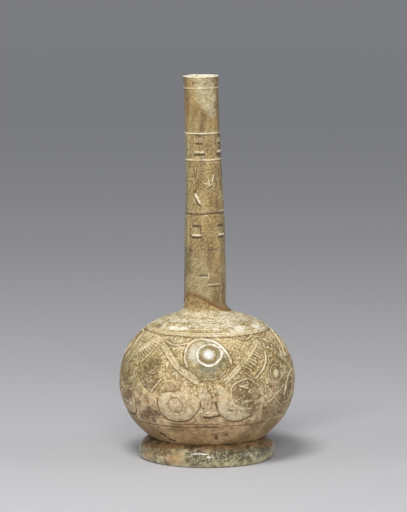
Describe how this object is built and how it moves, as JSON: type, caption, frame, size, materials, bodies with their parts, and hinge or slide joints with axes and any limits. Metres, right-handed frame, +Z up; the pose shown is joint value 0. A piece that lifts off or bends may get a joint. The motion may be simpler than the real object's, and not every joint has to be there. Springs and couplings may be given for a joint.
{
  "type": "bottle",
  "caption": "Relief-cut glass bottle: globular bulb on a fused foot ring, tall tapering neck mended at its foot with a slight lean.",
  "frame": {"origin": "centre of the flat ring that the bottle stands on", "axes": "+Z up along the bulb's axis, -Y towards the front, +X to the right as seen from the front"},
  "size_m": [0.103, 0.103, 0.2251],
  "materials": {
    "weathered_glass": "blown glass under a tan weathering crust, relief-cut, worn and pitted",
    "neck_glass": "blown glass, golden brown weathering, worn ridges, soft sheen",
    "foot_glass": "thick pale grey-green glass, pitted, dull",
    "mend_resin": "old brown restorer's resin"
  },
  "bodies": {
    "root": {"bulb": "weathered_glass", "neck": "neck_glass", "mend_resin": "mend_resin", "foot_ring": "foot_glass", "pontil_scar": "foot_glass"}
  },
  "joints": []
}
